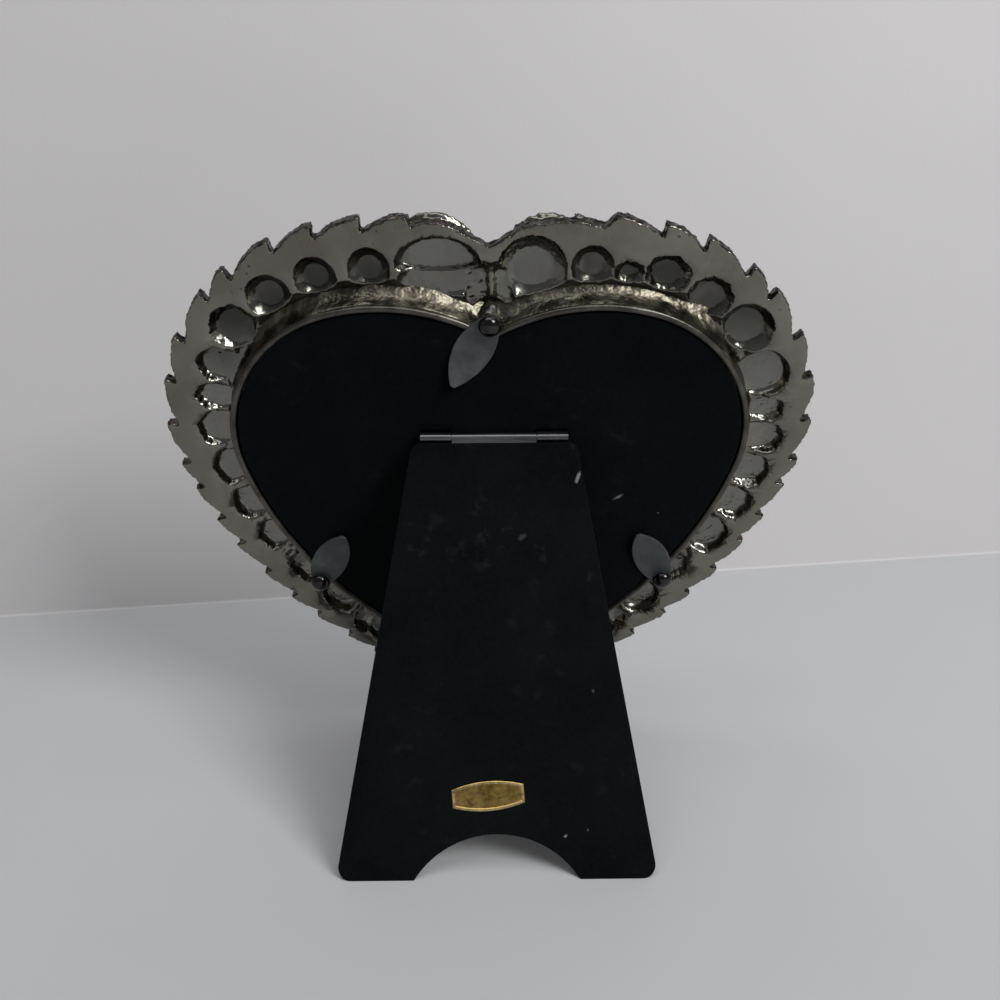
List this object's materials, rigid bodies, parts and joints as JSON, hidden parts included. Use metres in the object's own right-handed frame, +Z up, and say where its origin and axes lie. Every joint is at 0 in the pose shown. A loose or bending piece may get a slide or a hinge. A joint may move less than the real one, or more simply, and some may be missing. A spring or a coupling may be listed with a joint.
{
  "type": "heart shaped photo frame",
  "caption": "Cast metal heart photo frame with a leafy border, glass, velvet covered back held by turn buttons, and a hinged easel leg.",
  "frame": {"origin": "on the floor, under the middle of the bounding box of the standing frame with its leg open", "axes": "+Z up; the picture faces -Y and leans back; the leg opens towards +Y; +X is to the right when looking at the picture from the front"},
  "size_m": [0.1176, 0.0564, 0.115],
  "materials": {
    "cast_metal": "dark nickel plated zinc casting, smooth and mirror like on the flats",
    "glass": "clear float glass with ground edges",
    "picture_card": "blank matt card",
    "filler_card": "grey brown card",
    "board": "pressed fibreboard",
    "velvet": "black velvet",
    "lining": "black paper",
    "hinge_steel": "bare rolled steel strip",
    "rivet_brass": "plain brass",
    "gold_foil": "embossed gold foil, without words",
    "button_metal": "matt blue grey blackened sheet",
    "rivet_dark": "glossy dark plated"
  },
  "bodies": {
    "frame": {"frame_casting": "cast_metal", "glass_pane": "glass", "picture_card": "picture_card", "filler_card": "filler_card", "board_core": "board", "board_velvet": "velvet", "hinge_board_plate": "hinge_steel", "board_hinge_rivets": "rivet_brass", "hinge_pin": "hinge_steel", "button_rivets": "rivet_dark"},
    "leg": {"hinge_leg_plate": "hinge_steel", "leg_hinge_rivets": "rivet_brass", "leg_core": "board", "leg_velvet": "velvet", "leg_lining": "lining", "foil_label": "gold_foil"},
    "button_top": {"turn_button_top": "button_metal"},
    "button_left": {"turn_button_left": "button_metal"},
    "button_right": {"turn_button_right": "button_metal"}
  },
  "joints": [
    {"name": "leg_hinge", "type": "hinge", "parent": "frame", "child": "leg", "pos_m": [-0.0007, 0.00266, 0.07547], "axis": [1, 0, 0], "range_deg": [-35.8, 0]},
    {"name": "top_button_turn", "type": "hinge", "parent": "frame", "child": "button_top", "pos_m": [0, 0.00864, 0.09661], "axis": [0, -0.9511, 0.309], "continuous": true},
    {"name": "left_button_turn", "type": "hinge", "parent": "frame", "child": "button_left", "pos_m": [0.03422, -0.00881, 0.04292], "axis": [0, -0.9511, 0.309], "range_deg": [-155, 25]},
    {"name": "right_button_turn", "type": "hinge", "parent": "frame", "child": "button_right", "pos_m": [-0.03422, -0.00881, 0.04292], "axis": [0, -0.9511, 0.309], "range_deg": [-25, 155]}
  ]
}
